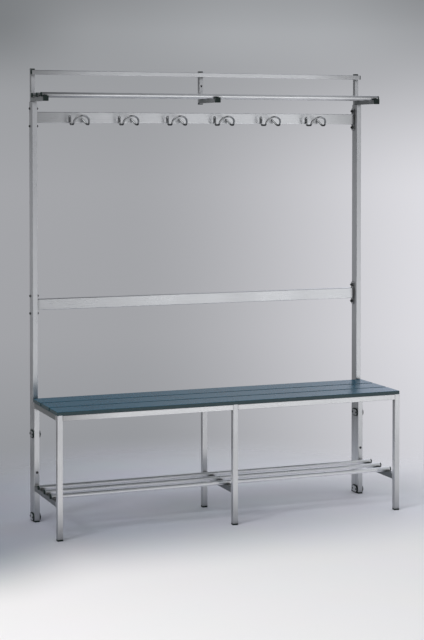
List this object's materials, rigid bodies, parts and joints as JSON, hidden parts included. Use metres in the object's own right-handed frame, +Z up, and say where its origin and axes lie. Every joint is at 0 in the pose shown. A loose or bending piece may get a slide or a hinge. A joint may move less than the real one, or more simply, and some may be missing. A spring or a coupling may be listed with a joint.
{
  "type": "coat rack bench",
  "caption": "Free-standing slatted bench with a tube shoe rack below, tall rear uprights, a back rail, a rail of bent-wire coat hooks and a tubular hat shelf.",
  "frame": {"origin": "on the floor, below the middle of the bounding box", "axes": "+X along the bench to the right as seen from the front, +Y from the front edge of the seat to the back of the uprights, +Z up"},
  "size_m": [1.343, 0.365, 1.65],
  "materials": {
    "frame_tube": "satin brushed tube",
    "seat_laminate": "dark slate blue compact laminate, semi-gloss",
    "hook_wire": "bright wire",
    "black_plastic": "black moulded plastic",
    "tie_metal": "satin pressed plate",
    "black_screws": "black oxide"
  },
  "bodies": {
    "root": {"back_rail": "frame_tube", "back_rail_end_plates": "frame_tube", "front_leg_centre": "frame_tube", "front_leg_left": "frame_tube", "front_leg_right": "frame_tube", "front_seat_rail_left": "frame_tube", "front_seat_rail_right": "frame_tube", "hook_1": "hook_wire", "hook_2": "hook_wire", "hook_3": "hook_wire", "hook_4": "hook_wire", "hook_5": "hook_wire", "hook_6": "hook_wire", "hook_rail": "frame_tube", "hook_rail_end_plates": "frame_tube", "leg_feet": "black_plastic", "leg_to_upright_bolts": "black_screws", "rail_bolts": "black_screws", "rail_nuts": "black_screws", "rear_leg_centre": "frame_tube", "rear_leg_left": "frame_tube", "rear_leg_right": "frame_tube", "rear_seat_rail_left": "frame_tube", "rear_seat_rail_right": "frame_tube", "seat_board_front": "seat_laminate", "seat_board_middle": "seat_laminate", "seat_board_rear": "seat_laminate", "seat_board_screws": "black_screws", "seat_cross_bar_centre": "frame_tube", "seat_cross_bar_left": "frame_tube", "seat_cross_bar_right": "frame_tube", "shelf_arm_caps": "black_plastic", "shelf_arm_centre": "frame_tube", "shelf_arm_left": "frame_tube", "shelf_arm_right": "frame_tube", "shelf_tube_front": "frame_tube", "shelf_tube_middle": "frame_tube", "shelf_tube_plugs": "black_plastic", "shelf_tube_rear": "frame_tube", "shelf_upright_caps": "black_plastic", "shelf_upright_centre": "frame_tube", "shelf_upright_left": "frame_tube", "shelf_upright_right": "frame_tube", "shoe_rack_bar_centre": "frame_tube", "shoe_rack_bar_left": "frame_tube", "shoe_rack_bar_right": "frame_tube", "shoe_rack_tube_front": "frame_tube", "shoe_rack_tube_middle": "frame_tube", "shoe_rack_tube_plugs": "black_plastic", "shoe_rack_tube_rear": "frame_tube", "tie_blocks": "black_plastic", "tie_faces": "tie_metal", "tie_screws": "black_screws", "top_rail": "frame_tube", "top_rail_plugs": "black_plastic", "upright_feet": "black_plastic", "upright_left": "frame_tube", "upright_right": "frame_tube"}
  },
  "joints": []
}
